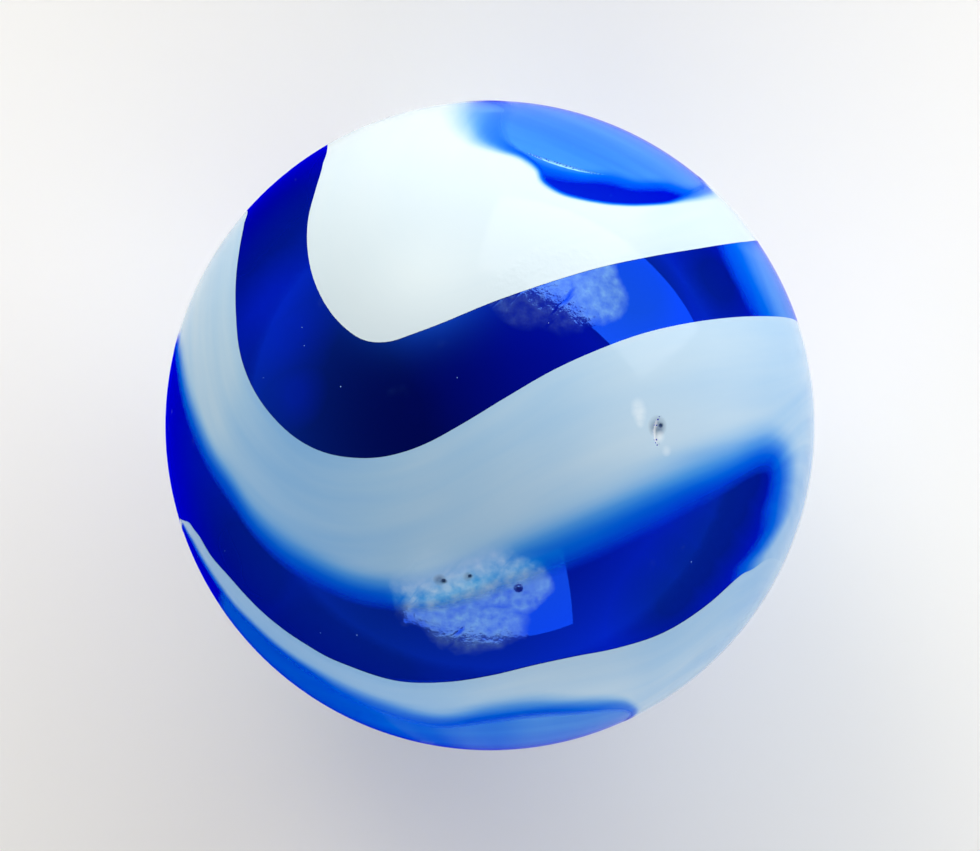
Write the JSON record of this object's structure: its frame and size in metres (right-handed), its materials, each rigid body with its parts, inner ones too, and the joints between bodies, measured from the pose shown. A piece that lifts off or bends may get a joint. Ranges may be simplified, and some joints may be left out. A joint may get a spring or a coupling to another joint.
{
  "type": "glass marble",
  "caption": "Solid ball of clear blue glass with opal white swirl ribbons, a shooter size playing marble that rolls freely and seats in any round cup or ring",
  "frame": {"origin": "centre of the ball", "axes": "+Z points out of the front of the ball, where the widest white ribbon crosses; +Y points towards the blue eye of the swirl and +X to the right of it as seen from the front"},
  "size_m": [0.025, 0.025, 0.025],
  "materials": {
    "blue_glass": "gloss",
    "white_glass": "gloss"
  },
  "bodies": {
    "root": {"marble": "blue_glass"}
  },
  "joints": []
}
